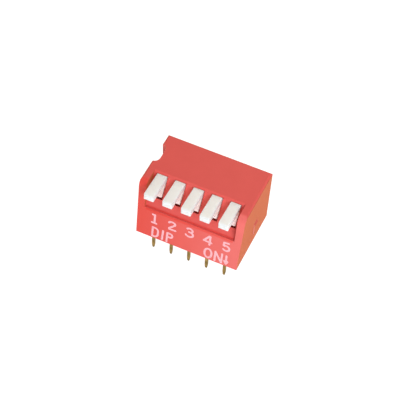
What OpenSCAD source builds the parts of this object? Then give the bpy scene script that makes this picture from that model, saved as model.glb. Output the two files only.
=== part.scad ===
// Piano-type DIP switch, five positions, two rows of five through-hole pins.
// Units: mm.  X runs along the rows, -Y is the lever side, +Z is away from the board.
// The origin is the middle of the pin pattern on the seating plane.

/* [Pins] */
// distance from one switch position to the next
pitch = 2.54; // [2.45:0.01:2.65]
// distance between the front and the back row of pins
row_spacing = 7.62; // [7.4:0.02:7.8]
// width of a pin along the row
pin_w = 0.42; // [0.36:0.02:0.6]
// thickness of the terminal sheet
pin_t = 0.22; // [0.2:0.01:0.3]
// length of a pin below the seating plane
pin_len = 3.5; // [2.8:0.1:4.0]
// length over which a pin narrows to its tip
pin_taper = 0.7; // [0.4:0.05:0.9]
// width of a pin at its tip
pin_tip_w = 0.26; // [0.2:0.02:0.34]
// radius of the corners at the pin tip
pin_tip_r = 0.1; // [0.06:0.01:0.1]

/* [Housing] */
// how far the top stands past the outer half pitch at each end
end_over = 0.95; // [0.85:0.05:1.15]
// distance from a row of pins to the front or back face at the seating plane
row_inset = 1.14; // [1.0:0.02:1.4]
// overall height without the pins
body_height = 9.0; // [8.9:0.1:9.8]
// how far each end face draws in from the top to its foot
end_lean = 0.2; // [0.1:0.05:0.3]
// how far the front face leans back over the height
front_lean = 1.2; // [1.0:0.05:1.4]
// how far the back face leans forward over the height
back_lean = 0.2; // [0.1:0.05:0.4]
// thickness of the two end cheeks beside the levers
cheek_t = 1.05; // [0.9:0.05:1.15]
// radius of the front top corner of the cheeks
cheek_r = 1.1; // [0.8:0.1:1.4]
// radius of the two end edges of the top
end_edge_r = 0.3; // [0.1:0.05:0.5]
// radius of the back edge of the top
back_edge_r = 0.25; // [0.1:0.05:0.5]
// height of the front panel that carries the marks
panel_height = 4.8; // [4.6:0.1:5.0]
// width of the lip along the panel's top edge
panel_lip = 0.12; // [0.1:0.02:0.2]
// width of the groove between the lip and the recess wall
groove_w = 0.2; // [0.15:0.01:0.24]
// depth of that groove
groove_depth = 0.1; // [0.05:0.01:0.3]
// distance from the front foot of the body to the recess wall's top edge
recess_depth = 3.5; // [3.3:0.05:3.6]
// radius of the recess wall's top edge
recess_edge_r = 0.4; // [0.2:0.05:0.45]
// thickness of the front and back walls
wall_t = 0.6; // [0.5:0.05:0.65]
// thickness of the end walls
end_wall_t = 0.8; // [0.75:0.05:0.85]
// thickness of the sloping recess wall
slope_t = 0.7; // [0.6:0.05:0.75]
// thickness of the top wall
top_t = 0.9; // [0.8:0.05:1.0]

/* [Pin 1 notch] */
// width of the notch where it opens in the end face
notch_w = 3.2; // [2.8:0.1:3.6]
// depth of the notch into the end
notch_depth = 0.8; // [0.6:0.05:0.85]
// radius of the notch's two inner corners
notch_r = 0.8; // [0.5:0.05:0.9]
// height of the notch below the top
notch_drop = 2.8; // [2.6:0.1:3.0]
// distance of the notch behind the middle of the seating plane
notch_y = 1.45; // [1.2:0.05:1.6]
// wall left between the notch and the inside
notch_wall = 0.3; // [0.25:0.05:0.35]

/* [Levers] */
// width of a lever
lever_w = 1.34; // [1.2:0.02:1.4]
// gap between a lever and each side of its opening
slot_gap = 0.1; // [0.08:0.01:0.12]
// height of the opening's lower edge
slot_bottom = 6.0; // [5.9:0.05:6.2]
// how far the opening's floor falls from that edge to the inside
slot_fall = 0.7; // [0.5:0.05:0.8]
// how far a lever's tip stands out in front of the body's foot
tip_reach = 0.75; // [0.5:0.05:1.2]
// height of the finger bar at its tip
bar_t = 0.9; // [0.8:0.05:1.0]
// drop of the bar's upper face below the housing top, at its root
bar_drop = 0.1; // [0.05:0.01:0.2]
// rise of the bar from its root to its tip
bar_rise = 0.2; // [0.1:0.02:0.4]
// radius of the tip's upper edge
tip_r = 0.25; // [0.15:0.05:0.35]
// height of the rocker face above the rocker's lower edge
nose_h = 0.4; // [0.3:0.05:0.5]
// gap between the bar's root and the upper end of its opening
root_gap = 0.12; // [0.1:0.01:0.16]
// radius of the other small lever edges
lever_r = 0.12; // [0.06:0.02:0.14]
// radius of the tip's two corners seen from above
tip_corner_r = 0.18; // [0.1:0.02:0.3]
// radius where the rocker runs down into the arm
throat_r = 0.3; // [0.2:0.05:0.35]
// reach of the lever's body behind the axis
heel = 0.45; // [0.4:0.05:0.5]
// how far the rocker face stands out of the recess wall at its lower edge
nose_out = 0.33; // [0.2:0.01:0.4]
// height of the rocker's lower edge above the opening's lower edge
nose_rise = 0.38; // [0.34:0.02:0.6]
// turn of a lever from OFF to ON, degrees
lever_travel = 7; // [4:1:7]

/* [Bearings] */
// distance from the recess wall's outer face back to the lever axis
pivot_in = 1.8; // [1.75:0.01:1.9]
// distance from the housing top down to the lever axis
pivot_drop = 1.8; // [1.75:0.01:1.85]
// diameter of the trunnions on each lever
trunnion_d = 1.0; // [0.8:0.05:1.05]
// length of a trunnion beside the lever
trunnion_len = 0.3; // [0.2:0.02:0.32]
// radial running gap around a trunnion
run_gap = 0.05; // [0.03:0.01:0.08]
// diameter of the boss round the axis in the lever
boss_d = 1.5; // [1.3:0.05:1.55]
// side gap between a lever and the bearing ribs
rib_gap = 0.1; // [0.08:0.01:0.14]
// reach of a bearing rib's top in front of and behind the axis
rib_top = 0.85; // [0.75:0.05:0.9]
// reach of a bearing rib's foot in front of the axis
rib_front = 2.1; // [1.6:0.1:2.2]
// reach of a bearing rib's foot behind the axis
rib_back = 2.4; // [1.8:0.1:2.8]
// how far the sides of the housing's ribs lie inside those of the base's ribs
cap_inset = 0.05; // [0.03:0.01:0.1]
// gap between the base's ribs and the housing's ribs above them
cap_gap = 0.05; // [0.03:0.01:0.1]

/* [Base] */
// thickness of the base plate
base_t = 1.5; // [1.3:0.1:1.7]
// gap round the base inside the housing
fit_gap = 0.04; // [0.02:0.01:0.06]
// gap round a terminal where it passes through the base
insert_gap = 0.02; // [0.01:0.01:0.03]
// width of the latch in each end wall
latch_w = 1.0; // [0.8:0.1:1.1]
// height of the latch window's lower edge
latch_z = 1.9; // [1.6:0.1:2.1]
// height of the latch window
latch_h = 2.2; // [1.8:0.1:2.4]
// how far the latch face stands out of the end face
latch_out = 0.16; // [0.05:0.01:0.18]
// width of the slope at the latch's upper edge
latch_cut = 0.2; // [0.1:0.05:0.3]
// distance of the latch behind the middle of the seating plane
latch_y = 0.4; // [0.0:0.1:0.8]

/* [Contacts] */
// width of the contact strips on the base
strip_w = 0.45; // [0.35:0.05:0.45]
// sideways offset of each contact strip from the lever's middle
strip_x = 0.36; // [0.34:0.01:0.38]
// length of strip beyond the spot where a contact foot rests
strip_over = 0.35; // [0.25:0.05:0.45]
// gap between a contact foot and the strips at the bottom of its swing
foot_gap = 0.03; // [0.02:0.01:0.06]
// thickness of the moving contact's sheet
clip_t = 0.14; // [0.1:0.02:0.16]
// thickness of the lever's toe that carries the moving contact
toe_t = 0.7; // [0.5:0.05:0.8]
// height of the toe's end above the contact feet
toe_rise = 0.75; // [0.65:0.05:0.85]
// height of the channel that clips round a lever's toe
clip_h = 0.9; // [0.7:0.1:1.1]
// width of the moving contact's two prongs
prong_w = 0.3; // [0.2:0.05:0.35]
// radius of the contact feet
foot_r = 0.16; // [0.12:0.02:0.18]

/* [Hidden] */
$fn = 48;
count = 5;
eps = 0.01;
// how far joined shapes run into each other
lap = 0.1;

// length of the top along the rows, and depth at the seating plane
body_length = count * pitch + 2 * end_over;
body_depth = row_spacing + 2 * row_inset;

// housing lines, as y over z
front_y = -body_depth / 2;
back_y = body_depth / 2;
front_slope = front_lean / body_height;
back_slope = back_lean / body_height;
front_run = wall_t / cos(atan(front_slope));
back_run = wall_t / cos(atan(back_slope));
lip_y = front_y + front_slope * panel_height + panel_lip;
step_y = lip_y + groove_w;
edge_y = front_y + recess_depth;
recess_slope = (edge_y - step_y) / (body_height - panel_height);
recess_run = slope_t / cos(atan(recess_slope));
ceiling_z = body_height - top_t;

function front_at(z) = front_y + front_slope * z;
function back_at(z) = back_y - back_slope * z;
function recess_at(z) = step_y + recess_slope * (z - panel_height);
function front_in(z) = front_at(z) + front_run;
function back_in(z) = back_at(z) - back_run;
function recess_in(z) = recess_at(z) + recess_run;
function end_at(z) = body_length / 2 - end_lean * (1 - z / body_height);
function lever_x(i) = (i - (count + 1) / 2) * pitch;
function rib_x(i) = lever_x(i) + pitch / 2;

// the inner front wall meets the inner recess wall at this height
knee_z = (front_in(0) - recess_in(0)) / (recess_slope - front_slope);

inner_x = body_length / 2 - end_wall_t;
mid_x = body_length / 2 - cheek_t;

// lever axis and the travel of the contact feet
pivot_z = body_height - pivot_drop;
pivot_y = recess_at(pivot_z) + pivot_in;
strip_top = base_t + pin_t;
foot_reach = pivot_z - strip_top - foot_gap;
foot_y = pivot_y - foot_reach * sin(lever_travel / 2);
foot_z = pivot_z - foot_reach * cos(lever_travel / 2);
foot_on_y = pivot_y + foot_reach * sin(lever_travel / 2);

// openings in the recess wall
slot_half = lever_w / 2 + slot_gap;
slot_tangent = recess_edge_r / tan((90 + atan(recess_slope)) / 2);
slot_top = body_height - slot_tangent * cos(atan(recess_slope));
slot_back_y = recess_at(slot_top) + slope_t;

// lever outline
bar_top = body_height - bar_drop;
tip_y = front_y - tip_reach;
tip_top = bar_top + bar_rise;
nose_z = slot_bottom + nose_rise;
toe_z = foot_z + toe_rise;
shoulder_z = toe_z + clip_h + eps;

// the rocker's foot runs back to this distance in front of the axis
throat_in = 1;
// the bar's root is nearly sharp, so that it fills its opening
root_r = 0.05;

// the terminal's strip turns from the pin to its own line over these distances behind the pin
strip_turn = [0.2, 0.6, 1, 1.5];

// bearing ribs
rib_t = pitch - lever_w - 2 * rib_gap;
rib_front_top = pivot_y - rib_top;
rib_back_top = pivot_y + rib_top;
rib_front_foot = pivot_y - rib_front;
rib_back_foot = pivot_y + rib_back;
end_rib_x = lever_x(count) + lever_w / 2 + rib_gap;

// "all" draws the whole switch, a node's name draws that node

function unit(v) = v / norm(v);
function cross2(a, b) = a.x * b.y - a.y * b.x;

// setback, centre and turn of a rounded corner b between a and c
function corner_half(a, b, c) = acos(max(-1, min(1, unit(a - b) * unit(c - b)))) / 2;
function corner_back(a, b, c, r) = r / tan(corner_half(a, b, c));
function corner_centre(a, b, c, r) =
    b + unit(unit(a - b) + unit(c - b)) * r / sin(corner_half(a, b, c));
function is_convex(a, b, c) = cross2(b - a, c - b) > 0;

// 2D outline, counter-clockwise, with its own radius at each point (0 keeps the corner sharp)
module rounded_outline(pts, radii) {
    n = len(pts);
    cut = [
        for (i = [0 : n - 1])
            let (a = pts[(i + n - 1) % n], b = pts[i], c = pts[(i + 1) % n], r = radii[i])
            each r > 0
                ? [b + unit(a - b) * corner_back(a, b, c, r), b + unit(c - b) * corner_back(a, b, c, r)]
                : [b]
    ];
    difference() {
        union() {
            polygon(cut);
            for (i = [0 : n - 1])
                if (radii[i] > 0 && is_convex(pts[(i + n - 1) % n], pts[i], pts[(i + 1) % n]))
                    translate(corner_centre(pts[(i + n - 1) % n], pts[i], pts[(i + 1) % n], radii[i]))
                        circle(r = radii[i]);
        }
        for (i = [0 : n - 1])
            if (radii[i] > 0 && !is_convex(pts[(i + n - 1) % n], pts[i], pts[(i + 1) % n]))
                translate(corner_centre(pts[(i + n - 1) % n], pts[i], pts[(i + 1) % n], radii[i]))
                    circle(r = radii[i]);
    }
}

// puts a side outline drawn as (y, z) into place and extrudes it from x0 to x1
module side_prism(x0, x1) {
    translate([x0, 0, 0]) rotate([90, 0, 90]) linear_extrude(x1 - x0) children();
}

// puts an end outline drawn as (x, z) into place and extrudes it from y0 to y1
module end_prism(y0, y1) {
    translate([0, y1, 0]) rotate([90, 0, 0]) linear_extrude(y1 - y0) children();
}

module cheek_outline() {
    rounded_outline(
        [
            [front_y, 0],
            [back_y, 0],
            [back_at(body_height), body_height],
            [front_at(body_height), body_height]
        ],
        [0, 0, back_edge_r, cheek_r]
    );
}

module middle_outline() {
    rounded_outline(
        [
            [front_y, 0],
            [back_y, 0],
            [back_at(body_height), body_height],
            [edge_y, body_height],
            [step_y, panel_height],
            [step_y, panel_height - groove_depth],
            [lip_y, panel_height - groove_depth],
            [lip_y, panel_height],
            [front_at(panel_height), panel_height]
        ],
        [0, 0, back_edge_r, recess_edge_r, 0, 0, 0, 0, 0]
    );
}

module cavity_outline() {
    polygon([
        [front_in(-1), -1],
        [back_in(-1), -1],
        [back_in(ceiling_z), ceiling_z],
        [recess_in(ceiling_z), ceiling_z],
        [recess_in(knee_z), knee_z]
    ]);
}

// opening for one lever, cut through the recess wall
module slot_outline() {
    polygon([
        [front_y, slot_bottom],
        [recess_at(slot_bottom), slot_bottom],
        [recess_in(slot_bottom - slot_fall), slot_bottom - slot_fall],
        [recess_in(slot_bottom) + slope_t, slot_bottom - slot_fall],
        [slot_back_y, ceiling_z - lap],
        [recess_at(slot_top), slot_top],
        [recess_at(slot_top) - 1, slot_top + recess_slope],
        [front_y, slot_top + recess_slope]
    ]);
}

// rib that hangs from the ceiling and closes the bearings from above
module cap_outline() {
    difference() {
        polygon([
            [recess_in(pivot_z + cap_gap) - 2 * lap, pivot_z + cap_gap],
            [rib_back_top + lap, pivot_z + cap_gap],
            [rib_back_top + lap, ceiling_z + 2 * lap],
            [recess_in(ceiling_z) - 2 * lap, ceiling_z + 2 * lap]
        ]);
        translate([pivot_y, pivot_z]) circle(d = trunnion_d + 2 * run_gap);
    }
}

// wall round the notch on the inside, grown by a gap on its free sides
module notch_pocket(gap) {
    reach = notch_depth + notch_wall - end_wall_t + lap;
    translate([
        -inner_x - lap,
        notch_y - notch_w / 2 - notch_wall - gap,
        body_height - notch_drop - notch_wall - gap
    ])
        cube([reach + gap, notch_w + 2 * (notch_wall + gap), notch_drop + notch_wall + gap - top_t + lap]);
}

// pin 1 notch, cut down from the top at the -X end
module notch() {
    translate([-body_length / 2, notch_y, body_height - notch_drop])
        linear_extrude(notch_drop + 1)
            rounded_outline(
                [
                    [-1, -notch_w / 2],
                    [notch_depth, -notch_w / 2],
                    [notch_depth, notch_w / 2],
                    [-1, notch_w / 2]
                ],
                [0, notch_r, notch_r, 0]
            );
}

module housing() {
    color("firebrick")
        difference() {
            union() {
                difference() {
                    intersection() {
                        union() {
                            side_prism(-body_length / 2, -mid_x) cheek_outline();
                            side_prism(-mid_x, mid_x) middle_outline();
                            side_prism(mid_x, body_length / 2) cheek_outline();
                        }
                        end_prism(front_y - 1, back_y + 1)
                            rounded_outline(
                                [
                                    [-body_length / 2 + end_lean, 0],
                                    [body_length / 2 - end_lean, 0],
                                    [body_length / 2, body_height],
                                    [-body_length / 2, body_height]
                                ],
                                [0, 0, end_edge_r, end_edge_r]
                            );
                    }
                    side_prism(-inner_x, inner_x) cavity_outline();
                }
                for (i = [1 : count - 1])
                    side_prism(rib_x(i) - rib_t / 2 + cap_inset, rib_x(i) + rib_t / 2 - cap_inset)
                        cap_outline();
                side_prism(end_rib_x + cap_inset, inner_x + lap) cap_outline();
                side_prism(-inner_x - lap, -end_rib_x - cap_inset) cap_outline();
                notch_pocket(0);
            }
            for (i = [1 : count])
                side_prism(lever_x(i) - slot_half, lever_x(i) + slot_half) slot_outline();
            notch();
            for (s = [-1, 1])
                translate([s * (body_length / 2 - end_wall_t / 2), latch_y, latch_z + latch_h / 2])
                    cube([end_wall_t + 2 * lap, latch_w + 2 * fit_gap, latch_h], center = true);
        }
}

module rib_outline() {
    difference() {
        polygon([
            [rib_front_foot, base_t - 2 * lap],
            [rib_back_foot, base_t - 2 * lap],
            [rib_back_top, pivot_z],
            [rib_front_top, pivot_z]
        ]);
        translate([pivot_y, pivot_z]) circle(d = trunnion_d + 2 * run_gap);
    }
}

module base_plate() {
    side_prism(-inner_x + fit_gap, inner_x - fit_gap)
        polygon([
            [front_in(0) + fit_gap, 0],
            [back_in(0) - fit_gap, 0],
            [back_in(base_t) - fit_gap, base_t],
            [front_in(base_t) + fit_gap, base_t]
        ]);
}

// snap latch that fills the window in one end wall, drawn for the +X end
module latch() {
    face = end_at(latch_z + latch_h / 2) + latch_out;
    foot = inner_x - fit_gap - lap;
    low = latch_z + fit_gap;
    high = latch_z + latch_h - fit_gap;
    end_prism(latch_y - latch_w / 2, latch_y + latch_w / 2)
        polygon([
            [foot, low],
            [face, low],
            [face, high - 2 * latch_cut],
            [face - latch_cut, high],
            [foot, high]
        ]);
}

module base() {
    color("indianred")
        difference() {
            union() {
                base_plate();
                for (i = [1 : count - 1])
                    side_prism(rib_x(i) - rib_t / 2, rib_x(i) + rib_t / 2) rib_outline();
                side_prism(end_rib_x, inner_x - fit_gap) rib_outline();
                side_prism(-inner_x + fit_gap, -end_rib_x) rib_outline();
                latch();
                mirror([1, 0, 0]) latch();
            }
            for (i = [1 : count], s = [-1, 1])
                translate([lever_x(i), s * row_spacing / 2, base_t / 2])
                    cube([pin_w + 2 * insert_gap, pin_t + 2 * insert_gap, base_t + 2], center = true);
            notch_pocket(cap_gap);
        }
}

// side outline of a lever: finger bar, rocker face, arm and boss
module lever_outline() {
    face_z = tip_top - bar_t - lap;
    rounded_outline(
        [
            [tip_y, tip_top],
            [tip_y, tip_top - bar_t],
            [recess_at(face_z) - lap, face_z],
            [recess_at(nose_z + nose_h) - nose_out, nose_z + nose_h],
            [recess_at(nose_z) - nose_out, nose_z],
            [pivot_y - throat_in, nose_z],
            [foot_y - toe_t / 2 - clip_t, shoulder_z],
            [foot_y - toe_t / 2, shoulder_z],
            [foot_y - toe_t / 2, toe_z],
            [foot_y + toe_t / 2, toe_z],
            [foot_y + toe_t / 2, shoulder_z],
            [foot_y + toe_t / 2 + clip_t, shoulder_z],
            [pivot_y + heel, pivot_z - heel],
            [pivot_y + heel, pivot_z + heel],
            [slot_back_y - root_gap, ceiling_z - lap - root_gap / 2],
            [recess_at(slot_top) - root_gap, bar_top]
        ],
        [tip_r, lever_r, lever_r, lever_r, lever_r, throat_r, 0, 0, 0, 0, 0, 0, 0, 0, 0, root_r]
    );
    translate([pivot_y, pivot_z]) circle(d = boss_d);
}

// one lever with its two trunnions, the tip's corners rounded as seen from above
module lever(i) {
    color("whitesmoke")
        translate([lever_x(i), 0, 0]) {
            intersection() {
                side_prism(-lever_w / 2, lever_w / 2) lever_outline();
                linear_extrude(body_height + 1)
                    rounded_outline(
                        [
                            [-lever_w / 2, tip_y],
                            [lever_w / 2, tip_y],
                            [lever_w / 2, back_y],
                            [-lever_w / 2, back_y]
                        ],
                        [tip_corner_r, tip_corner_r, 0, 0]
                    );
            }
            side_prism(-lever_w / 2 - trunnion_len, lever_w / 2 + trunnion_len)
                translate([pivot_y, pivot_z]) circle(d = trunnion_d);
        }
}

// moving contact: a channel clipped round the lever's toe, with two prongs that end in round feet
module contact(i) {
    out = toe_t / 2 + clip_t;
    color("gold")
        translate([lever_x(i), 0, 0]) {
            side_prism(-lever_w / 2 + rib_gap, lever_w / 2 - rib_gap)
                difference() {
                    translate([foot_y - out, toe_z - clip_t]) square([2 * out, clip_h + clip_t]);
                    translate([foot_y - toe_t / 2, toe_z]) square([toe_t, 2]);
                }
            for (s = [-1, 1])
                side_prism(s * strip_x - prong_w / 2, s * strip_x + prong_w / 2) {
                    translate([foot_y - clip_t / 2, foot_z + foot_r])
                        square([clip_t, toe_z - foot_z - foot_r - clip_t / 2]);
                    translate([foot_y, foot_z + foot_r]) circle(r = foot_r);
                }
        }
}

// terminal with its pin at the front row; reach is how far its strip runs back from the pin
module terminal(reach) {
    end_prism(-pin_t / 2, pin_t / 2)
        rounded_outline(
            [
                [-pin_tip_w / 2, -pin_len],
                [pin_tip_w / 2, -pin_len],
                [pin_w / 2, -pin_len + pin_taper],
                [pin_w / 2, strip_top],
                [-pin_w / 2, strip_top],
                [-pin_w / 2, -pin_len + pin_taper]
            ],
            [pin_tip_r, pin_tip_r, 0, 0, 0, 0]
        );
    translate([0, 0, base_t])
        linear_extrude(pin_t)
            polygon([
                [-pin_w / 2, -pin_t / 2],
                [pin_w / 2, -pin_t / 2],
                [pin_w / 2, strip_turn[2]],
                [-strip_x + strip_w / 2, strip_turn[3]],
                [-strip_x + strip_w / 2, reach],
                [-strip_x - strip_w / 2, reach],
                [-strip_x - strip_w / 2, strip_turn[1]],
                [-pin_w / 2, strip_turn[0]]
            ]);
}

module terminal_front(i) {
    color("goldenrod")
        translate([lever_x(i), -row_spacing / 2, 0])
            terminal(foot_on_y + strip_over + row_spacing / 2);
}

module terminal_back(i) {
    color("goldenrod")
        translate([lever_x(i), row_spacing / 2, 0])
            rotate([0, 0, 180])
                terminal(row_spacing / 2 - foot_on_y + strip_over);
}

housing();
base();
for (i = [1 : count]) {
    lever(i);
    contact(i);
    terminal_front(i);
    terminal_back(i);
}
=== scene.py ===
"""Looks for a piano-style DIP switch: moulded red housing, white levers, gold pins and printed marks.

Every object is in metres, in the frame of the CAD part. Sizes in millimetres are multiplied by MM.
"""

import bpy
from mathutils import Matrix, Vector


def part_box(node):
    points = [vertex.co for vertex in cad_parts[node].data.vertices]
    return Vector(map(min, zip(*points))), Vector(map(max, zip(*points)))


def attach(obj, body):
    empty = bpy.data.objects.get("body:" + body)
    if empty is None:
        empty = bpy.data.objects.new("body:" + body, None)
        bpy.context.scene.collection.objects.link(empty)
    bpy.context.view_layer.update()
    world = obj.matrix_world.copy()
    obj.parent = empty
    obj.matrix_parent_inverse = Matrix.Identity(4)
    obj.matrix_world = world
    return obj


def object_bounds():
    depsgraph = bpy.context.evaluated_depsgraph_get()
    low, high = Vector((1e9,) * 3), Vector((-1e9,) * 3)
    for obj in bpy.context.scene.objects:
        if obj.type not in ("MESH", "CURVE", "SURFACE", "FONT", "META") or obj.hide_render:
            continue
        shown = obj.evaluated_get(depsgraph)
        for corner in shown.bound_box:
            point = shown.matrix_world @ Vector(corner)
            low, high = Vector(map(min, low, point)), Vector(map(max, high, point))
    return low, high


bl_info = {
    "name": "Piano DIP switch looks",
    "version": (1, 0, 0),
    "blender": (4, 5, 0),
    "location": "View3D > Sidebar > DIP switch",
    "description": "Materials, printed marks and a studio stage for a piano-style DIP switch",
    "category": "Object",
}

import math

import bpy
from bpy.props import FloatProperty, FloatVectorProperty, PointerProperty
from mathutils import Euler, Matrix, Vector

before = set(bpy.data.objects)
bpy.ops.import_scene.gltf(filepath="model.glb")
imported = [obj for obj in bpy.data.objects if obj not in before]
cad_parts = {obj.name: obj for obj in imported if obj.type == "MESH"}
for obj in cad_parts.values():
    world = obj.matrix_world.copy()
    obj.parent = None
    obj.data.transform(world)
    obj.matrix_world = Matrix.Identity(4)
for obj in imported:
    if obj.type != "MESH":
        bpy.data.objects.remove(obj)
CAD_BOX = [list(corner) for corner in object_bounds()]

MM = 0.001
COUNT = 5
MAIN_BODY = "switch_body"

# the sloping face of the recess: its y grows by the slope for each step up, from this y at the seating plane
RECESS_SLOPE = 0.605
RECESS_START = -6.86 * MM
# half the width of the recess, between the cheeks
RECESS_HALF = 6.05 * MM
# the front's painted reflection reaches the cheeks between these two distances in front of the sloping face
CHEEK_FROM = 0.1 * MM
CHEEK_FULL = 0.3 * MM
# half the length over which the front's painted reflection grows paler
SHEEN_HALF = 6.5 * MM
# height of the front panel's lip, and the painted shade of deeper red below it: how far down its middle lies,
# and how far from there it is full and is gone
LIP_Z = 4.8 * MM
LIP_SHADE_DROP = 0.12 * MM
LIP_SHADE_FULL = 0.12 * MM
LIP_SHADE_GONE = 0.36 * MM
# the space of the levers' slots: middle and half size in y and z, and the depth over which its painted glow
# comes in
SLOT_Y = -1.0 * MM
SLOT_Y_HALF = 4.0 * MM
SLOT_Z = 6.32 * MM
SLOT_Z_HALF = 2.17 * MM
SLOT_EDGE = 0.15 * MM
# strength of the painted glow in the slots
SLOT_GLOW = 0.2
# the faces of the levers' roots: how far they lie in front of the sloping face, give or take this much
ROOT_FRONT = 0.3 * MM
ROOT_SPREAD = 0.35 * MM
# strength of the painted glow on them
ROOT_GLOW = 0.3
# half the length of the floor's sides, in metres
FLOOR_HALF = 1.5
# the camera's turn about X, Y and Z, in degrees
CAMERA_ANGLES = (38.6699, -2.2496, 24.7883)

# left foot of each printed mark, in millimetres: from the middle of its lever for the digits, else along X
DIGIT_SHIFTS = (-0.04, -0.06, -0.22, -0.29, -0.13)
KIND_MARKS = (("D", -4.84), ("I", -3.43), ("P", -2.79))
ON_MARKS = (("O", 2.53), ("N", 4.0), ("arrow", 5.22))


# ---------------------------------------------------------------- colours and nodes


def linear(hex_colour):
    """Turns an sRGB hex string such as "D94A3F" into linear RGBA."""
    channels = [int(hex_colour[i : i + 2], 16) / 255 for i in (0, 2, 4)]
    return tuple(c / 12.92 if c <= 0.04045 else ((c + 0.055) / 1.055) ** 2.4 for c in channels) + (1.0,)


def add_node(tree, kind, inputs=None, **settings):
    """Adds a node: settings go on the node itself, inputs take a value or another node's output."""
    node = tree.nodes.new(kind)
    for name, value in settings.items():
        setattr(node, name, value)
    for key, value in (inputs or {}).items():
        if isinstance(value, bpy.types.NodeSocket):
            tree.links.new(value, node.inputs[key])
        else:
            node.inputs[key].default_value = value
    return node


def new_material(name):
    """An empty node material: its tree and its object coordinates."""
    material = bpy.data.materials.new(name)
    material.use_nodes = True
    tree = material.node_tree
    tree.nodes.clear()
    return material, tree, add_node(tree, "ShaderNodeTexCoord").outputs["Object"]


def read_surface(tree, place):
    """The point's x, y and z, the way its surface faces, and its drop: the y where a line through the point
    along the slope of the recess meets the seating plane."""
    axes = add_node(tree, "ShaderNodeSeparateXYZ", {"Vector": place}).outputs
    normal = add_node(tree, "ShaderNodeNewGeometry").outputs["Normal"]
    facing = add_node(tree, "ShaderNodeSeparateXYZ", {"Vector": normal}).outputs
    drop = add_node(
        tree, "ShaderNodeMath", {0: axes["Z"], 1: -RECESS_SLOPE, 2: axes["Y"]}, operation="MULTIPLY_ADD"
    )
    return axes, facing, drop.outputs[0]


# ---------------------------------------------------------------- materials


def red_front(tree, axes, drop, across, near, far):
    """Colour of the front: a painted reflection that grows paler from the first position to the last, on the
    front panel and the cheeks but not in the recess, and a painted shade of deeper red just under the panel's
    lip."""
    share = add_node(
        tree,
        "ShaderNodeMapRange",
        {"Value": axes["X"], "From Min": -SHEEN_HALF, "From Max": SHEEN_HALF, "To Min": -0.5, "To Max": 0.5},
    )
    cheek = add_node(
        tree,
        "ShaderNodeMapRange",
        {"Value": drop, "From Min": RECESS_START - CHEEK_FROM, "From Max": RECESS_START - CHEEK_FULL},
    )
    panel = add_node(tree, "ShaderNodeMath", {0: axes["Z"], 1: LIP_Z}, operation="LESS_THAN")
    outside = add_node(
        tree, "ShaderNodeMath", {0: cheek.outputs["Result"], 1: panel.outputs[0]}, operation="MAXIMUM"
    )
    along = add_node(
        tree,
        "ShaderNodeMath",
        {0: share.outputs["Result"], 1: outside.outputs[0], 2: 0.5},
        operation="MULTIPLY_ADD",
    )
    # painted reflection: the front's red grows paler from the first position to the last, outside the recess
    painted_sheen = add_node(tree, "ShaderNodeMix", {0: along.outputs[0], 6: near, 7: far}, data_type="RGBA")
    level = add_node(tree, "ShaderNodeMath", {0: axes["Z"], 1: LIP_Z - LIP_SHADE_DROP}, operation="SUBTRACT")
    away = add_node(tree, "ShaderNodeMath", {0: level.outputs[0]}, operation="ABSOLUTE")
    band = add_node(
        tree,
        "ShaderNodeMapRange",
        {"Value": away.outputs[0], "From Min": LIP_SHADE_GONE, "From Max": LIP_SHADE_FULL},
    )
    lip_shade_mask = add_node(tree, "ShaderNodeMath", {0: band.outputs["Result"], 1: across}, operation="MULTIPLY")
    # painted shade: a deeper red multiplied in just under the panel's lip, in the crease before the recess
    lip_shaded = add_node(
        tree,
        "ShaderNodeMix",
        {0: lip_shade_mask.outputs[0], 6: painted_sheen.outputs[2], 7: linear("FFCEC7")},
        data_type="RGBA",
        blend_type="MULTIPLY",
    )
    return lip_shaded.outputs[2]


def slot_light(tree, axes, drop, across):
    """Strength of a painted glow in the levers' slots, behind the sloping face of the recess, that lightens
    their dark red."""
    behind = add_node(
        tree,
        "ShaderNodeMapRange",
        {"Value": drop, "From Min": RECESS_START, "From Max": RECESS_START + SLOT_EDGE, "To Max": SLOT_GLOW},
    )
    deep = add_node(tree, "ShaderNodeMath", {0: axes["Y"], 1: SLOT_Y, 2: SLOT_Y_HALF}, operation="COMPARE")
    high = add_node(tree, "ShaderNodeMath", {0: axes["Z"], 1: SLOT_Z, 2: SLOT_Z_HALF}, operation="COMPARE")
    light = behind.outputs["Result"]
    for mask in (high.outputs[0], across, deep.outputs[0]):
        light = add_node(tree, "ShaderNodeMath", {0: light, 1: mask}, operation="MULTIPLY").outputs[0]
    return light


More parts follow.
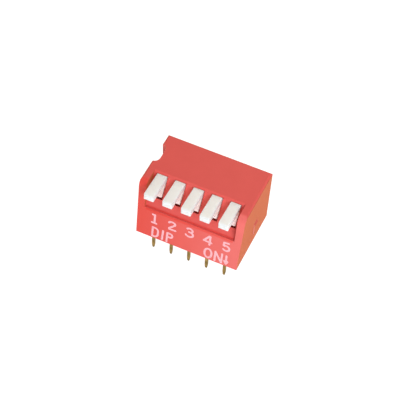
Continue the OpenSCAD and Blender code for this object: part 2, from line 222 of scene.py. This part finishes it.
def moulded_red_pbt(name, body, front_near, front_far, end_tone):
    """Red PBT, injection moulded in a finely spark-eroded tool: an even red with faint flow clouds and a soft
    satin gloss over a very fine grain, which shows as a warm bloom at a flat angle. The walls that face the
    front carry a painted reflection that grows paler towards the last position, the end walls carry a painted
    shade of deeper red and a duller skin, and the slots a painted glow."""
    material, tree, place = new_material(name)
    axes, facing, drop = read_surface(tree, place)
    between_cheeks = {0: axes["X"], 1: 0.0, 2: RECESS_HALF}
    across = add_node(tree, "ShaderNodeMath", between_cheeks, operation="COMPARE").outputs[0]
    front = red_front(tree, axes, drop, across, front_near, front_far)
    # the walls are told apart by which way they face: the front-facing ones take the front's painted
    # reflection, the sideways ones the painted end shade
    frontal = add_node(
        tree, "ShaderNodeMapRange", {"Value": facing["Y"], "From Min": -0.05, "From Max": -0.35}
    )
    panels = add_node(
        tree, "ShaderNodeMix", {0: frontal.outputs["Result"], 6: body, 7: front}, data_type="RGBA"
    )
    # painted shade: the sideways-facing end walls take a deeper red, under the warm sheen they show at a flat
    # angle
    sideways = add_node(tree, "ShaderNodeMath", {0: facing["X"]}, operation="ABSOLUTE")
    at_end = add_node(
        tree, "ShaderNodeMapRange", {"Value": sideways.outputs[0], "From Min": 0.75, "From Max": 0.97}
    ).outputs["Result"]
    walls = add_node(tree, "ShaderNodeMix", {0: at_end, 6: panels.outputs[2], 7: end_tone}, data_type="RGBA")
    clouds = add_node(tree, "ShaderNodeTexNoise", {"Vector": place, "Scale": 1 / (3.0 * MM), "Detail": 3.0})
    colour = add_node(
        tree,
        "ShaderNodeMix",
        {0: clouds.outputs["Fac"], 6: walls.outputs[2], 7: linear("F5F0F0")},
        data_type="RGBA",
        blend_type="MULTIPLY",
    )
    # the tool's grain is about 0.03 mm; it is drawn at 0.1 mm so that it shows
    grain = add_node(tree, "ShaderNodeTexNoise", {"Vector": place, "Scale": 1 / (0.1 * MM), "Detail": 2.0})
    satin = add_node(
        tree,
        "ShaderNodeMapRange",
        {"Value": grain.outputs["Fac"], "From Min": 0.3, "From Max": 0.7, "To Min": 0.36, "To Max": 0.48},
    )
    # the end walls come off the tool with a duller skin
    gloss = add_node(
        tree, "ShaderNodeMath", {0: at_end, 1: 0.3, 2: satin.outputs["Result"]}, operation="MULTIPLY_ADD"
    )
    sink = add_node(
        tree, "ShaderNodeBump", {"Height": clouds.outputs["Fac"], "Strength": 0.2, "Distance": 0.02 * MM}
    )
    relief = add_node(
        tree,
        "ShaderNodeBump",
        {
            "Height": grain.outputs["Fac"],
            "Strength": 0.4,
            "Distance": 0.002 * MM,
            "Normal": sink.outputs["Normal"],
        },
    )
    shader = add_node(
        tree,
        "ShaderNodeBsdfPrincipled",
        {
            "Base Color": colour.outputs[2],
            "Roughness": gloss.outputs[0],
            "IOR": 1.5,
            "Specular IOR Level": 0.15,
            "Sheen Weight": 0.42,
            "Sheen Roughness": 0.4,
            "Sheen Tint": linear("FFC060"),
            "Normal": relief.outputs["Normal"],
            # a painted glow in the slots: emission where only shade falls
            "Emission Color": linear("FF3A20"),
            "Emission Strength": slot_light(tree, axes, drop, across),
        },
    )
    add_node(tree, "ShaderNodeOutputMaterial", {"Surface": shader.outputs["BSDF"]})
    return material


def root_light(tree, place):
    """Strength of a painted glow, warm pink, on the front face of a lever's root in the slot, where the bar
    above shades it."""
    axes, facing, drop = read_surface(tree, place)
    frontal = add_node(
        tree,
        "ShaderNodeMapRange",
        {"Value": facing["Y"], "From Min": -0.5, "From Max": -0.7, "To Max": ROOT_GLOW},
    )
    rooted = add_node(
        tree, "ShaderNodeMath", {0: drop, 1: RECESS_START - ROOT_FRONT, 2: ROOT_SPREAD}, operation="COMPARE"
    )
    return add_node(
        tree, "ShaderNodeMath", {0: rooted.outputs[0], 1: frontal.outputs["Result"]}, operation="MULTIPLY"
    ).outputs[0]


def moulded_white_nylon(name, body, shade):
    """Natural white nylon, injection moulded: milky, a little warmer in cloudy patches, with a soft gloss and
    a painted glow on the front faces of the roots.
    """
    material, tree, place = new_material(name)
    clouds = add_node(tree, "ShaderNodeTexNoise", {"Vector": place, "Scale": 1 / (1.2 * MM), "Detail": 3.0})
    white = add_node(tree, "ShaderNodeMix", {0: clouds.outputs["Fac"], 6: shade, 7: body}, data_type="RGBA")
    # the tool's grain, drawn at 0.08 mm so that it shows
    grain = add_node(tree, "ShaderNodeTexNoise", {"Vector": place, "Scale": 1 / (0.08 * MM), "Detail": 2.0})
    gloss = add_node(
        tree,
        "ShaderNodeMapRange",
        {"Value": grain.outputs["Fac"], "From Min": 0.3, "From Max": 0.7, "To Min": 0.34, "To Max": 0.46},
    )
    relief = add_node(
        tree, "ShaderNodeBump", {"Height": grain.outputs["Fac"], "Strength": 0.4, "Distance": 0.0015 * MM}
    )
    shader = add_node(
        tree,
        "ShaderNodeBsdfPrincipled",
        {
            "Base Color": white.outputs[2],
            "Roughness": gloss.outputs["Result"],
            "IOR": 1.53,
            "Subsurface Weight": 0.6,
            "Subsurface Radius": (1.0, 0.95, 0.9),
            "Subsurface Scale": 1.5 * MM,
            "Normal": relief.outputs["Normal"],
            # painted glow: warm pink emission on the roots' front faces, where the levers are in shade
            "Emission Color": linear("FFC4BC"),
            "Emission Strength": root_light(tree, place),
        },
    )
    add_node(tree, "ShaderNodeOutputMaterial", {"Surface": shader.outputs["BSDF"]})
    return material


def pad_printed_ink(name, ink, thin):
    """White pad-printing ink on red plastic: so thin that the red shows through as pink at weak spots."""
    material, tree, place = new_material(name)
    cover = add_node(tree, "ShaderNodeTexNoise", {"Vector": place, "Scale": 1 / (0.16 * MM), "Detail": 3.0})
    thick = add_node(
        tree, "ShaderNodeMapRange", {"Value": cover.outputs["Fac"], "From Min": 0.3, "From Max": 0.55}
    )
    colour = add_node(tree, "ShaderNodeMix", {0: thick.outputs["Result"], 6: thin, 7: ink}, data_type="RGBA")
    relief = add_node(
        tree, "ShaderNodeBump", {"Height": cover.outputs["Fac"], "Strength": 0.3, "Distance": 0.002 * MM}
    )
    shader = add_node(
        tree,
        "ShaderNodeBsdfPrincipled",
        {"Base Color": colour.outputs[2], "Roughness": 0.55, "IOR": 1.5, "Normal": relief.outputs["Normal"]},
    )
    add_node(tree, "ShaderNodeOutputMaterial", {"Surface": shader.outputs["BSDF"]})
    return material


def gold_flashed_strip(name, bright, dull, smooth, rough):
    """Stamped brass strip with a thin gold flash: a dull yellow metal with fine rolling lines along the strip
    and darker handling marks."""
    material, tree, place = new_material(name)
    stains = add_node(tree, "ShaderNodeTexNoise", {"Vector": place, "Scale": 1 / (0.6 * MM), "Detail": 4.0})
    handled = add_node(
        tree, "ShaderNodeMapRange", {"Value": stains.outputs["Fac"], "From Min": 0.35, "From Max": 0.62}
    )
    colour = add_node(
        tree, "ShaderNodeMix", {0: handled.outputs["Result"], 6: dull, 7: bright}, data_type="RGBA"
    )
    drawn_out = add_node(tree, "ShaderNodeMapping", {"Vector": place, "Scale": (1.0, 1.0, 0.08)})
    lines = add_node(
        tree, "ShaderNodeTexNoise", {"Vector": drawn_out.outputs[0], "Scale": 1 / (0.05 * MM), "Detail": 2.0}
    )
    gloss = add_node(
        tree,
        "ShaderNodeMapRange",
        {"Value": lines.outputs["Fac"], "From Min": 0.3, "From Max": 0.7, "To Min": smooth, "To Max": rough},
    )
    relief = add_node(
        tree, "ShaderNodeBump", {"Height": lines.outputs["Fac"], "Strength": 0.5, "Distance": 0.0015 * MM}
    )
    shader = add_node(
        tree,
        "ShaderNodeBsdfPrincipled",
        {
            "Base Color": colour.outputs[2],
            "Metallic": 1.0,
            "Roughness": gloss.outputs["Result"],
            "Normal": relief.outputs["Normal"],
        },
    )
    add_node(tree, "ShaderNodeOutputMaterial", {"Surface": shader.outputs["BSDF"]})
    return material


def matt_white_paper(name, glow):
    """A sheet of matt white paper, lit from below as well, so that shadows on it stay faint."""
    material, tree, _ = new_material(name)
    shader = add_node(
        tree,
        "ShaderNodeBsdfPrincipled",
        {
            "Base Color": linear("7C7C7C"),
            "Roughness": 0.9,
            "Specular IOR Level": 0.0,
            "Emission Color": linear("FFFFFF"),
            "Emission Strength": glow,
        },
    )
    add_node(tree, "ShaderNodeOutputMaterial", {"Surface": shader.outputs["BSDF"]})
    return material


# ---------------------------------------------------------------- printed marks


def arc(cx, cy, rx, ry, start, end, steps=10):
    """Points on an elliptical arc, in degrees."""
    angles = [math.radians(start + (end - start) * i / steps) for i in range(steps + 1)]
    return [(cx + rx * math.cos(a), cy + ry * math.sin(a)) for a in angles]


# Centre lines of the strokes, from the mark's left foot, in millimetres. Each is straight or a smooth curve.
GLYPHS = {
    "1": [[(0.12, 1.4), (0.42, 1.42)], [(0.42, 1.42), (0.44, 0.0)], [(0.08, 0.0), (0.7, 0.0)]],
    "2": [
        arc(0.34, 1.04, 0.44, 0.3, 170, -40, 14) + [(0.0, 0.16)],
        [(0.0, 0.16), (0.0, 0.0)],
        [(0.0, 0.0), (0.88, 0.02)],
    ],
    "3": [arc(0.42, 1.1, 0.42, 0.32, 145, -95, 14), arc(0.42, 0.39, 0.53, 0.41, 95, -150, 16)],
    "4": [
        [(0.68, 1.4), (0.0, 0.43)],
        [(0.0, 0.43), (1.05, 0.35)],
        [(0.82, 1.4), (0.8, -0.04)],
        [(0.68, 1.4), (0.82, 1.4)],
    ],
    "5": [
        [(0.65, 1.42), (0.03, 1.37)],
        [(0.03, 1.37), (0.0, 0.84)],
        [(0.0, 0.84)] + arc(0.36, 0.45, 0.45, 0.43, 125, -140, 16),
    ],
    "D": [
        [(0.0, 0.0), (0.0, 1.54)],
        [(0.0, 1.54), (0.3, 1.54)]
        + arc(0.3, 1.04, 0.48, 0.5, 90, 0, 8)[1:]
        + arc(0.3, 0.62, 0.48, 0.62, 0, -90, 8),
        [(0.3, 0.0), (0.0, 0.0)],
    ],
    "I": [[(0.0, 0.0), (0.05, 1.55)]],
    "P": [
        [(0.0, -0.04), (0.02, 1.53)],
        [(0.02, 1.53), (0.4, 1.53)] + arc(0.4, 1.19, 0.34, 0.34, 90, -90, 12)[1:] + [(0.02, 0.85)],
    ],
    "O": [arc(0.49, 0.78, 0.49, 0.78, 90, 450, 28)],
    "N": [[(0.0, 0.0), (0.0, 1.56)], [(0.0, 1.56), (0.93, 0.0)], [(0.93, 0.0), (0.93, 1.56)]],
    "arrow": [
        [(0.32, 1.52), (0.34, 0.1)],
        [(0.1, 0.55), (0.34, 0.1)],
        [(0.34, 0.1), (0.56, 0.55)],
        [(0.1, 0.55), (0.56, 0.55)],
    ],
}
STROKE_SOCKETS = (
    ("Lines", "Geometry"),
    ("Stroke Width", "Float"),
    ("Ink Height", "Float"),
    ("Panel Foot", "Vector"),
    ("Panel Turn", "Vector"),
    ("Ink", "Material"),
)


def stroke_tree():
    """Node tree that turns centre lines into ink: a tube along each line and a round spot at each point,
    pressed flat, then laid on the leaning panel."""
    tree = bpy.data.node_groups.new("printed_stroke", "GeometryNodeTree")
    for name, kind in STROKE_SOCKETS:
        tree.interface.new_socket(name, in_out="INPUT", socket_type=f"NodeSocket{kind}")
    tree.interface.new_socket("Print", in_out="OUTPUT", socket_type="NodeSocketGeometry")
    given = add_node(tree, "NodeGroupInput").outputs
    width = given["Stroke Width"]
    half = add_node(tree, "ShaderNodeMath", {0: width, 1: 0.5}, operation="MULTIPLY").outputs[0]
    flat = add_node(tree, "ShaderNodeMath", {0: given["Ink Height"], 1: half}, operation="DIVIDE").outputs[0]
    press = add_node(tree, "ShaderNodeCombineXYZ", {0: 1.0, 1: 1.0, 2: flat}).outputs[0]
    spot = add_node(tree, "GeometryNodeMeshUVSphere", {"Segments": 16, "Rings": 8, "Radius": half})
    single = add_node(
        tree, "GeometryNodeMergeByDistance", {"Geometry": given["Lines"], "Distance": 0.001 * MM}
    )
    spots = add_node(
        tree, "GeometryNodeInstanceOnPoints", {"Points": single.outputs[0], "Instance": spot.outputs["Mesh"]}
    )
    section = add_node(tree, "GeometryNodeCurvePrimitiveCircle", {"Resolution": 12, "Radius": half})
    curve = add_node(tree, "GeometryNodeMeshToCurve", {"Mesh": given["Lines"]})
    tube = add_node(
        tree,
        "GeometryNodeCurveToMesh",
        {"Curve": curve.outputs["Curve"], "Profile Curve": section.outputs["Curve"], "Fill Caps": True},
    )
    both = add_node(tree, "GeometryNodeJoinGeometry", {0: tube.outputs["Mesh"]})
    tree.links.new(spots.outputs["Instances"], both.inputs[0])
    pressed = add_node(tree, "GeometryNodeTransform", {"Geometry": both.outputs[0], "Scale": press})
    laid = add_node(
        tree,
        "GeometryNodeTransform",
        {"Geometry": pressed.outputs[0], "Translation": given["Panel Foot"], "Rotation": given["Panel Turn"]},
    )
    solid = add_node(tree, "GeometryNodeRealizeInstances", {"Geometry": laid.outputs[0]})
    inked = add_node(
        tree, "GeometryNodeSetMaterial", {"Geometry": solid.outputs[0], "Material": given["Ink"]}
    )
    add_node(tree, "NodeGroupOutput", {0: inked.outputs[0]})
    return tree


def print_marks(name, marks, tree, ink, sizes):
    """Makes one printed piece. marks: each glyph, and the place of its left foot along and up the panel."""
    scale = sizes.mark_scale * MM
    points, edges = [], []
    for glyph, left, foot in marks:
        for line in GLYPHS[glyph]:
            first = len(points)
            points += [(left + u * scale, foot + v * scale, 0.0) for u, v in line]
            edges += [(i, i + 1) for i in range(first, len(points) - 1)]
    mesh = bpy.data.meshes.new(name)
    mesh.from_pydata(points, edges, [])
    piece = bpy.data.objects.new(name, mesh)
    bpy.context.scene.collection.objects.link(piece)
    modifier = piece.modifiers.new("strokes", "NODES")
    modifier.node_group = tree
    low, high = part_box("housing")
    values = {
        "Stroke Width": sizes.stroke,
        "Ink Height": sizes.ink_height,
        "Panel Foot": (0.0, low.y, 0.0),
        "Panel Turn": (math.pi / 2 - math.atan(sizes.panel_lean / high.z), 0.0, 0.0),
        "Ink": ink,
    }
    for item in tree.interface.items_tree:
        if item.name in values:
            modifier[item.identifier] = values[item.name]
    bpy.context.view_layer.update()
    made = bpy.data.meshes.new_from_object(piece.evaluated_get(bpy.context.evaluated_depsgraph_get()))
    if not made.polygons:
        raise RuntimeError(f"{name} came out empty")
    piece.modifiers.clear()
    piece.data = made
    made.name = name
    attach(piece, MAIN_BODY)


# ---------------------------------------------------------------- stage


def lay_floor(scene, settings):
    """A plain white sheet that the pins stand on."""
    mesh = bpy.data.meshes.new("floor")
    corners = [(-1, -1), (1, -1), (1, 1), (-1, 1)]
    points = [(x * FLOOR_HALF, y * FLOOR_HALF, CAD_BOX[0][2]) for x, y in corners]
    mesh.from_pydata(points, [], [(0, 1, 2, 3)])
    mesh.materials.append(matt_white_paper("matt_white_paper", settings.floor_glow))
    floor = bpy.data.objects.new("floor", mesh)
    scene.collection.objects.link(floor)


def light_all_round(scene, settings):
    """Faint even light from every side, as in a tent of white cloth."""
    world = bpy.data.worlds.new("soft_tent")
    world.use_nodes = True
    background = world.node_tree.nodes["Background"].inputs
    background["Color"].default_value = linear("FAFBFF")
    background["Strength"].default_value = settings.sky
    scene.world = world


def hang_lights(scene, settings):
    """Square soft lights that aim at the part: the main one at the front right, one above and one behind."""
    for name, place, side, power, colour in (
        ("front_light", (0.165, -0.17, 0.16), 0.15, settings.front_power, "DAEEFF"),
        ("top_light", (0.0, -0.05, 0.3), 0.3, settings.top_power, "FFECD4"),
        ("back_light", (0.0, 0.2, 0.2), 0.15, settings.back_power, "FFECD4"),
    ):
        light = bpy.data.lights.new(name, "AREA")
        light.shape = "SQUARE"
        light.size = side
        light.energy = power
        light.color = linear(colour)[:3]
        lamp = bpy.data.objects.new(name, light)
        aim = (-Vector(place)).to_track_quat("-Z", "Y").to_matrix().to_4x4()
        lamp.matrix_world = Matrix.Translation(place) @ aim
        scene.collection.objects.link(lamp)


def set_camera(scene, settings):
    """The camera, above the front and to the right of the middle."""
    camera = bpy.data.cameras.new("camera")
    camera.lens = settings.lens
    camera.sensor_width = 36.0
    camera.clip_start = 0.01
    camera.clip_end = 10.0
    holder = bpy.data.objects.new("camera", camera)
    turn = Euler(settings.camera_turn).to_matrix().to_4x4()
    holder.matrix_world = Matrix.Translation(settings.camera_place) @ turn
    scene.collection.objects.link(holder)
    scene.camera = holder


# ---------------------------------------------------------------- sizes and colours a user may change


def colour_setting(name, description, hex_colour):
    """A colour picker whose default is an sRGB hex colour."""
    return FloatVectorProperty(
        name=name,
        description=description,
        subtype="COLOR",
        size=4,
        min=0.0,
        max=1.0,
        default=linear(hex_colour),
    )


def size_setting(name, description, millimetres):
    """A length whose default is given in millimetres."""
    return FloatProperty(name=name, description=description, default=millimetres * MM, unit="LENGTH")


class DipSwitchColours(bpy.types.PropertyGroup):
    """Colours of the mouldings, levers, ink and metal."""

    housing: colour_setting("Housing", "Red of the housing", "DC5852")
    # the front's red with a painted reflection: deeper at the first position, paler at the last
    front_near: colour_setting("Front, first end", "Red of the panel at the first position", "E34A40")
    front_far: colour_setting("Front, last end", "Milkier red of the panel at the last position", "EB6C65")
    # a deeper red painted as shade on the end walls, under their sheen
    end_tone: colour_setting("End walls", "Slightly deeper red of the thin end walls", "C4483A")
    # paler than the housing as a painted highlight on the latches' sloping tops; the whole base takes it
    base: colour_setting("Base", "Red of the base, a little paler than the housing", "DE6C60")
    # a paler red painted as highlight on the base's front-facing faces, the lit fronts of the latches
    latch: colour_setting("Latches", "Red of the latches' edges, rubbed pale", "E48E7E")
    lever: colour_setting("Levers", "White of the levers", "E4E3DE")
    lever_shade: colour_setting("Lever shade", "Warmer patches of the levers", "E0DDD6")
    ink: colour_setting("Ink", "Printed marks", "F8B4B7")
    ink_thin: colour_setting("Thin ink", "Weak spots of the print", "EE9A9A")
    pin: colour_setting("Pins", "Gold flash on the terminals", "A88A4E")
    pin_dull: colour_setting("Dull pins", "Handling marks on the terminals", "7C6630")
    spring: colour_setting("Contacts", "Gold plate on the moving contacts", "E0BC6A")
    spring_dull: colour_setting("Dull contacts", "Handling marks on the moving contacts", "C49A48")


class DipSwitchPrint(bpy.types.PropertyGroup):
    """Sizes of the printed marks on the front panel."""

    stroke: size_setting("Stroke", "Width of a stroke", 0.29)
    ink_height: size_setting("Ink height", "Thickness of the ink", 0.008)
    mark_scale: FloatProperty(name="Mark scale", description="Size of each mark on its own foot", default=1.0)
    panel_lean: size_setting("Panel lean", "How far the front leans back over its height", 1.2)
    digit_foot: size_setting("Digit foot", "Height of the digits' foot", 2.66)
    word_foot: size_setting("Word foot", "Height of the words' foot", 0.3)


class DipSwitchStage(bpy.types.PropertyGroup):
    """The camera, the lights and the floor."""

    lens: FloatProperty(
        name="Lens", description="Focal length on a 36 mm sensor", default=126.0, unit="CAMERA"
    )
    camera_place: FloatVectorProperty(
        name="Camera place",
        description="Where the camera stands",
        default=(0.041509, -0.103975, 0.144399),
        unit="LENGTH",
    )
    camera_turn: FloatVectorProperty(
        name="Camera turn",
        description="The camera's turn about X, Y and Z",
        default=[math.radians(angle) for angle in CAMERA_ANGLES],
        subtype="EULER",
    )
    front_power: FloatProperty(name="Front light", description="Power of the front right light", default=0.78)
    top_power: FloatProperty(name="Top light", description="Power of the light above", default=0.33)
    back_power: FloatProperty(name="Back light", description="Power of the light behind", default=0.23)
    sky: FloatProperty(name="Even light", description="Strength of the light from all round", default=0.2)
    floor_glow: FloatProperty(name="Floor glow", description="Light of the floor itself", default=1.0)


# ---------------------------------------------------------------- operators


def paint(nodes, material):
    """Puts one material on CAD nodes."""
    for name in nodes:
        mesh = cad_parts[name].data
        mesh.materials.clear()
        mesh.materials.append(material)


def numbered(stem):
    """The names of a piece that each position has, from the first to the last."""
    return [f"{stem}_{i}" for i in range(1, COUNT + 1)]


class DIPSWITCH_OT_mouldings(bpy.types.Operator):
    """Gives the housing and the base their moulded red plastic"""

    bl_idname = "dipswitch.mouldings"
    bl_label = "Paint housing and base"

    def execute(self, context):
        colours = context.scene.dip_switch_colours
        for piece, name, body, near, far in (
            ("housing", "moulded_red_pbt", colours.housing, colours.front_near, colours.front_far),
            # the base's front-facing faces take the painted latch highlight
            ("base", "moulded_red_pbt_base", colours.base, colours.latch, colours.latch),
        ):
            paint([piece], moulded_red_pbt(name, body, near, far, colours.end_tone))
        return {"FINISHED"}


class DIPSWITCH_OT_levers(bpy.types.Operator):
    """Gives the five levers their white nylon"""

    bl_idname = "dipswitch.levers"
    bl_label = "Paint levers"

    def execute(self, context):
        colours = context.scene.dip_switch_colours
        white = moulded_white_nylon("moulded_white_nylon", colours.lever, colours.lever_shade)
        paint(numbered("lever"), white)
        return {"FINISHED"}


class DIPSWITCH_OT_metal(bpy.types.Operator):
    """Gives the terminals and the moving contacts their gold-flashed strip"""

    bl_idname = "dipswitch.metal"
    bl_label = "Paint metal"

    def execute(self, context):
        colours = context.scene.dip_switch_colours
        strip = gold_flashed_strip(
            "gold_flashed_brass", colours.pin, colours.pin_dull, smooth=0.36, rough=0.5
        )
        paint(numbered("terminal_front") + numbered("terminal_back"), strip)
        spring = gold_flashed_strip(
            "gold_plated_spring_strip", colours.spring, colours.spring_dull, smooth=0.2, rough=0.34
        )
        paint(numbered("contact"), spring)
        return {"FINISHED"}


class DIPSWITCH_OT_printing(bpy.types.Operator):
    """Prints the position numbers, the letters for the kind of switch and the ON mark with its arrow"""

    bl_idname = "dipswitch.printing"
    bl_label = "Print marks"

    def execute(self, context):
        colours = context.scene.dip_switch_colours
        sizes = context.scene.dip_switch_print
        ink = pad_printed_ink("pad_printed_white_ink", colours.ink, colours.ink_thin)
        tree = stroke_tree()
        digits = []
        for i, shift in zip(range(1, COUNT + 1), DIGIT_SHIFTS):
            low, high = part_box(f"lever_{i}")
            digits.append((str(i), (low.x + high.x) / 2 + shift * MM, sizes.digit_foot))
        kind = [(glyph, left * MM, sizes.word_foot) for glyph, left in KIND_MARKS]
        on = [(glyph, left * MM, sizes.word_foot) for glyph, left in ON_MARKS]
        for name, marks in (("printed_numbers", digits), ("printed_kind", kind), ("printed_on", on)):
            print_marks(name, marks, tree, ink, sizes)
        return {"FINISHED"}


class DIPSWITCH_OT_stage(bpy.types.Operator):
    """Makes the pale floor, the soft lights and the camera"""

    bl_idname = "dipswitch.stage"
    bl_label = "Set the stage"

    def execute(self, context):
        context.scene.view_settings.view_transform = "Standard"
        for step in (lay_floor, light_all_round, hang_lights, set_camera):
            step(context.scene, context.scene.dip_switch_stage)
        return {"FINISHED"}


class DIPSWITCH_PT_looks(bpy.types.Panel):
    """Lists the steps and their settings"""

    bl_label = "DIP switch"
    bl_idname = "DIPSWITCH_PT_looks"
    bl_space_type = "VIEW_3D"
    bl_region_type = "UI"
    bl_category = "DIP switch"

    def draw(self, context):
        column = self.layout.column()
        for operator in OPERATORS:
            column.operator(operator.bl_idname)
        scene = context.scene
        for group in (scene.dip_switch_colours, scene.dip_switch_print, scene.dip_switch_stage):
            box = column.box()
            for name in group.__annotations__:
                box.prop(group, name)


OPERATORS = (
    DIPSWITCH_OT_mouldings,
    DIPSWITCH_OT_levers,
    DIPSWITCH_OT_metal,
    DIPSWITCH_OT_printing,
    DIPSWITCH_OT_stage,
)
GROUPS = (DipSwitchColours, DipSwitchPrint, DipSwitchStage)


def register():
    for cls in GROUPS + OPERATORS + (DIPSWITCH_PT_looks,):
        bpy.utils.register_class(cls)
    bpy.types.Scene.dip_switch_colours = PointerProperty(type=DipSwitchColours)
    bpy.types.Scene.dip_switch_print = PointerProperty(type=DipSwitchPrint)
    bpy.types.Scene.dip_switch_stage = PointerProperty(type=DipSwitchStage)


def unregister():
    del bpy.types.Scene.dip_switch_stage
    del bpy.types.Scene.dip_switch_print
    del bpy.types.Scene.dip_switch_colours
    for cls in reversed(GROUPS + OPERATORS + (DIPSWITCH_PT_looks,)):
        bpy.utils.unregister_class(cls)


def main():
    register()
    bpy.ops.dipswitch.mouldings()
    bpy.ops.dipswitch.levers()
    bpy.ops.dipswitch.metal()
    bpy.ops.dipswitch.printing()
    bpy.ops.dipswitch.stage()


if __name__ == "__main__":
    main()
